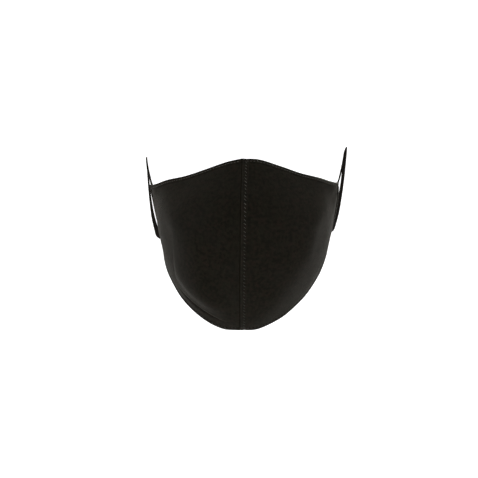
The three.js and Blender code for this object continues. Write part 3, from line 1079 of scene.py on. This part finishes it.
def tackThread(lines, runs, place, over):
    ends = []
    outs = []
    for (line, normal), run, slip in zip(lines, runs, (0, barTack["slip"])):
        ends.append(alongLine(place + slip, run, line))
        outs.append(unit(alongLine(place + slip, run, normal)))
    bulge = np.array(barTack["bulge"])[:, None]
    share = np.linspace(0, 1, len(bulge))[:, None]
    centres = ends[0] * (1 - share) + ends[1] * share
    outward = unit(outs[0] * (1 - share) + outs[1] * share)
    return threadTube(centres + outward * (over + bulge), outward, barTack["radius"])


def makeBarTacks():
    tubes = []
    near = barTack["fromEdge"] - barTack["width"] / 2
    far = barTack["fromEdge"] + barTack["width"] / 2
    for name in sides:
        for face, over in barTack["over"].items():
            lines = [lineOn(surfaces[name], "fromSide", distance, face) for distance in (near, far)]
            runs = [runLength(line, 0) for line, _ in lines]
            for middle in (barTack["fromCorner"], runs[0][-1] - barTack["fromCorner"]):
                for share in np.linspace(-0.5, 0.5, barTack["threads"]):
                    tubes.append(tackThread(lines, runs, middle + barTack["length"] * share, over))
    joinTubes("loopBarTacks", tubes)


makeBarTacks()
print("bar tacks made")


# Studio

paper = {
    "floor": -0.235,
    "front": -2.6,
    "back": 1.5,          # where it starts to curve up
    "curve": 0.8,
    "curveSteps": 12,
    "width": 2.4,
    "height": 0.9,
    "shadeColour": (0.86, 0.86, 0.86, 1),
    "faceColour": (0.90, 0.90, 0.90, 1),
    "grainScale": 60.0,
    "roughness": 0.6,
    "glow": 0.8,
}
studioLights = {
    "worldGlow": 0.02,        # on the mask
    "worldBehind": 1.0,       # as the camera sees it past the paper
    "aim": (0, 0.02, -0.07),
    "leftShare": 0.82,        # how strong the lights on the wearer's left are beside those on the right
    "sides": {"power": 6.1, "size": (0.5, 0.8), "angle": 100, "distance": 1.3, "height": 0.0},
    "upperSides": {"power": 0.3, "size": (0.5, 0.8), "angle": 115, "distance": 1.3, "height": 0.7},
    "front": {"power": 32.5, "size": (1.0, 1.0), "place": (0.2, -2.0, 1.6)},
    "top": {"power": 12, "size": (1.2, 0.8), "place": (0, 0.1, 1.5)},
}


def makePaperSweep():
    profile = [(paper["front"], 0.0), (paper["back"], 0.0)]
    for k in range(1, paper["curveSteps"] + 1):
        angle = math.pi / 2 * k / paper["curveSteps"]
        y = paper["back"] + paper["curve"] * math.sin(angle)
        profile.append((y, paper["curve"] * (1 - math.cos(angle))))
    profile.append((paper["back"] + paper["curve"], paper["height"]))
    edge = paper["width"] / 2
    verts = []
    for y, z in profile:
        verts += [(-edge, y, z + paper["floor"]), (edge, y, z + paper["floor"])]
    faces = [(2 * k, 2 * k + 1, 2 * k + 3, 2 * k + 2) for k in range(len(profile) - 1)]
    material, tree, surface = newMaterial("paperSweep")
    grain = noise(tree, objectPlace(tree), paper["grainScale"])
    white = blendColours(tree, grain, paper["shadeColour"], paper["faceColour"])
    tree.links.new(white, surface.inputs["Base Color"])
    surface.inputs["Roughness"].default_value = paper["roughness"]
    surface.inputs["Emission Color"].default_value = (1, 1, 1, 1)
    surface.inputs["Emission Strength"].default_value = paper["glow"]
    addMesh("paperSweep", verts, faces, material)


def makeWorld():
    world = bpy.data.worlds.new("studioWorld")
    world.use_nodes = True
    tree = world.node_tree
    seen = addNode(tree, "ShaderNodeLightPath").outputs["Is Camera Ray"]
    glow = spread(tree, seen, 0.0, 1.0, studioLights["worldGlow"], studioLights["worldBehind"])
    tree.links.new(glow, tree.nodes["Background"].inputs["Strength"])
    tree.nodes["Background"].inputs["Color"].default_value = (1, 1, 1, 1)
    bpy.context.scene.world = world


def aimedLight(name, place, size, power):
    data = bpy.data.lights.new(name, "AREA")
    data.shape = "RECTANGLE"
    data.size, data.size_y = size
    data.energy = power
    light = bpy.data.objects.new(name, data)
    light.location = place
    aim = Vector(studioLights["aim"]) - Vector(place)
    light.rotation_euler = aim.to_track_quat("-Z", "Y").to_euler()
    bpy.context.collection.objects.link(light)


def makeLights():
    for kind in ("sides", "upperSides"):
        pair = studioLights[kind]
        angle = math.radians(pair["angle"])
        for name in ("left", "right"):
            across = sides[name]["sign"] * pair["distance"] * math.sin(angle)
            place = (across, -pair["distance"] * math.cos(angle), pair["height"])
            power = pair["power"] * (studioLights["leftShare"] if name == "left" else 1)
            aimedLight(name + kind.capitalize(), place, pair["size"], power)
    for name in ("front", "top"):
        light = studioLights[name]
        aimedLight(name + "Softbox", light["place"], light["size"], light["power"])


makePaperSweep()
makeWorld()
makeLights()
bpy.context.scene.view_settings.view_transform = "Standard"
bpy.context.scene.view_settings.look = "None"
print("studio made")
